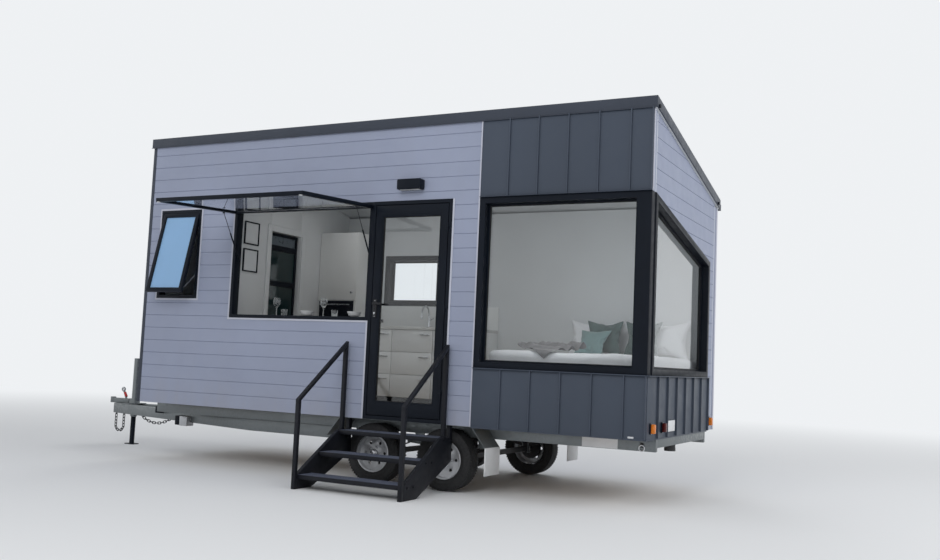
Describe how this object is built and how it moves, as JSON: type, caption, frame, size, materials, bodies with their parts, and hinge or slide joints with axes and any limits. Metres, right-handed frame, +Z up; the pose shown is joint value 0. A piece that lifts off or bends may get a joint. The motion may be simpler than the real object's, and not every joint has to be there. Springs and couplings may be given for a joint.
{
  "type": "tiny house",
  "caption": "Tiny house on a tandem trailer with mono-pitch roof, lifted servery window, glazed door, steps and a glazed corner.",
  "frame": {"origin": "on the ground under the middle of the whole outline", "axes": "+X along the house towards its glazed corner, +Y from the door side to the rear, +Z up"},
  "size_m": [7.756, 3.7156, 3.688],
  "materials": {
    "boarding": "painted weatherboard, satin",
    "floor_timber": "oiled boards",
    "ceiling_white": "matt white lining",
    "lining_white": "matt white lining",
    "roof_grey": "pre-painted steel, satin",
    "cladding_grey": "pre-painted standing-seam steel, satin",
    "joinery_black": "powder coated black",
    "handle_black": "powder coated black",
    "frosted_glass": "obscured glass",
    "clear_glass": "clear float glass",
    "strut_steel": "black gas strut",
    "light_black": "matt black",
    "inner_dark": "dark glazed leaf",
    "unit_white": "white lacquer",
    "bed_timber": "pale timber",
    "bed_linen": "white cotton",
    "chain_steel": "weathered zinc plate",
    "galvanised": "hot-dip galvanised",
    "jack_black": "black paint",
    "axle_black": "black paint",
    "flap_white": "white rubber sheet, plain",
    "step_black": "black powder coat, ribbed treads",
    "amber_lens": "amber lens",
    "tyre_rubber": "black rubber",
    "rim_silver": "silver paint"
  },
  "bodies": {
    "house": {"front_wall_piers": "boarding", "front_wall_lower": "boarding", "front_wall_upper": "boarding", "end_wall": "boarding", "left_end_wall": "boarding", "rear_wall": "boarding", "floor": "floor_timber", "roof_deck": "ceiling_white", "roof_sheet": "roof_grey", "roof_fascia": "roof_grey", "rear_gutter": "roof_grey", "corner_trims": "roof_grey", "corner_cladding": "cladding_grey", "end_cladding": "cladding_grey", "bathroom_frame": "joinery_black", "bathroom_sash": "joinery_black", "bathroom_glass": "frosted_glass", "servery_frame": "joinery_black", "servery_sash": "joinery_black", "servery_glass": "clear_glass", "servery_struts": "strut_steel", "door_frame": "joinery_black", "corner_frame_near": "joinery_black", "corner_frame_end": "joinery_black", "window_glass": "clear_glass", "kitchen_frame": "joinery_black", "wall_light": "light_black", "partition": "lining_white", "kitchen_units": "unit_white", "bed_base": "bed_timber", "bedding": "bed_linen", "chassis_rails": "galvanised", "cross_members": "galvanised", "drawbar": "galvanised", "coupling": "galvanised", "jack_tube": "galvanised", "jack_leg": "jack_black", "axles": "axle_black", "mudguards": "galvanised", "mud_flaps": "flap_white", "leaf_springs": "axle_black", "spring_hangers": "galvanised", "safety_chains": "chain_steel", "step_treads": "step_black", "step_stringers": "step_black", "handrail_posts": "step_black", "handrails": "step_black", "tail_lights": "amber_lens"},
    "entry_door": {"door_leaf": "joinery_black", "door_glass": "clear_glass", "door_handles": "handle_black"},
    "inner_door": {"inner_door": "inner_dark"},
    "wheel_near_front": {"tyre_near_front": "tyre_rubber", "rim_near_front": "rim_silver"},
    "wheel_near_rear": {"tyre_near_rear": "tyre_rubber", "rim_near_rear": "rim_silver"},
    "wheel_far_front": {"tyre_far_front": "tyre_rubber", "rim_far_front": "rim_silver"},
    "wheel_far_rear": {"tyre_far_rear": "tyre_rubber", "rim_far_rear": "rim_silver"}
  },
  "joints": [
    {"name": "entry_door_hinge", "type": "hinge", "parent": "house", "child": "entry_door", "pos_m": [1.787, -0.68516, 0.645], "axis": [0, 0, 1], "range_deg": [0, 90]},
    {"name": "inner_door_hinge", "type": "hinge", "parent": "house", "child": "inner_door", "pos_m": [-1.066, 0.62684, 0.705], "axis": [0, 0, -1], "range_deg": [0, 90]},
    {"name": "wheel_near_front_spin", "type": "hinge", "parent": "house", "child": "wheel_near_front", "pos_m": [0.972, -0.47916, 0.3], "axis": [0, 1, 0], "continuous": true},
    {"name": "wheel_near_rear_spin", "type": "hinge", "parent": "house", "child": "wheel_near_rear", "pos_m": [1.787, -0.47916, 0.3], "axis": [0, 1, 0], "continuous": true},
    {"name": "wheel_far_front_spin", "type": "hinge", "parent": "house", "child": "wheel_far_front", "pos_m": [0.972, 1.56084, 0.3], "axis": [0, 1, 0], "continuous": true},
    {"name": "wheel_far_rear_spin", "type": "hinge", "parent": "house", "child": "wheel_far_rear", "pos_m": [1.787, 1.56084, 0.3], "axis": [0, 1, 0], "continuous": true}
  ]
}
